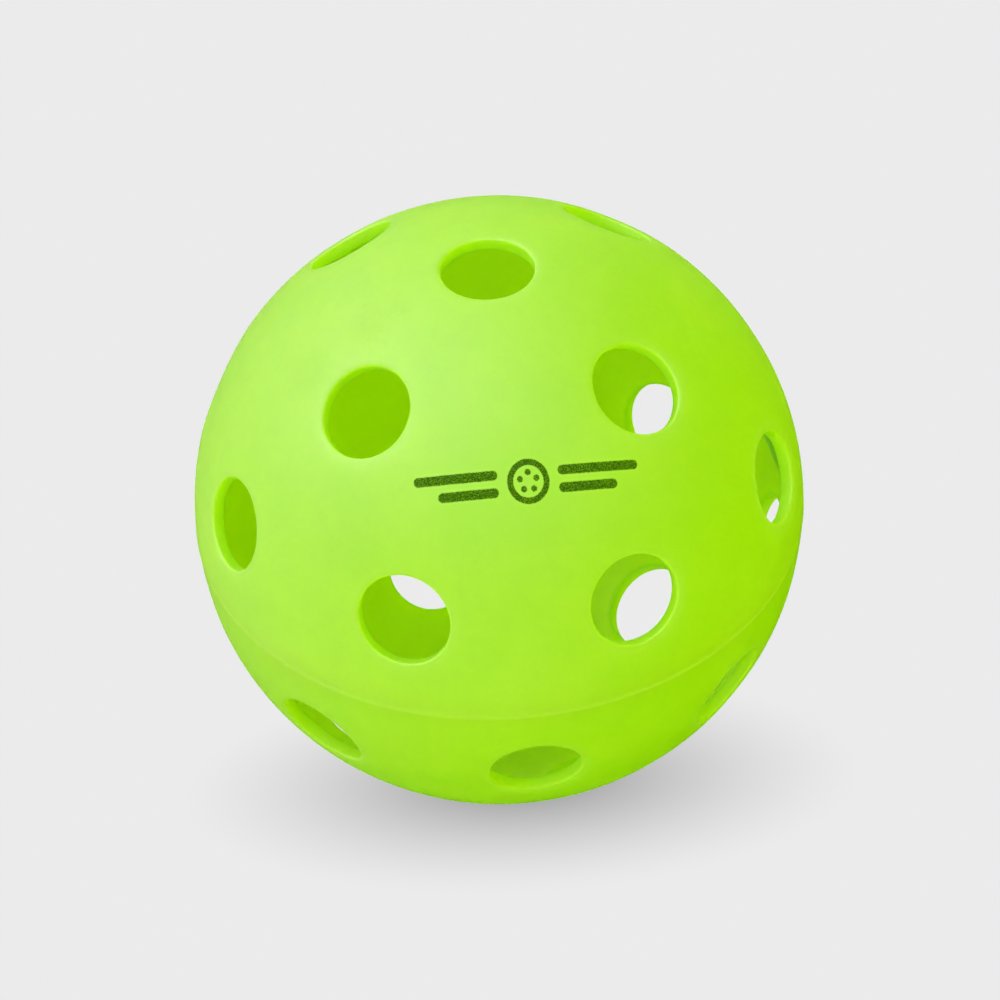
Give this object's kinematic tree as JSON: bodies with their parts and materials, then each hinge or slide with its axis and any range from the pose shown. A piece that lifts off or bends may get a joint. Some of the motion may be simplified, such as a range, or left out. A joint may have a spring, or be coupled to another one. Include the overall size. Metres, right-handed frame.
{
  "type": "pickleball ball",
  "caption": "Hollow plastic court ball, yellow-green, with round holes all over, two moulded halves fused at the equator; lies on the rim of its lowest hole.",
  "frame": {"origin": "centre of the ball, in the plane of the fused seam", "axes": "+Z through the pole hole of the upper half, the seam in the XY plane, -Y towards the middle of the printed side; the ball lies on the rim of its lower pole hole, 36 mm below the origin"},
  "size_m": [0.074, 0.074, 0.072],
  "materials": {
    "shell_plastic": "soft satin polyethylene, yellow-green, slightly translucent, with fine moulding grain and light handling marks",
    "weld_plastic": "the same plastic, melted and set smooth"
  },
  "bodies": {
    "root": {"upper_half_shell": "shell_plastic", "lower_half_shell": "shell_plastic", "inner_weld_bead": "weld_plastic"}
  },
  "joints": []
}
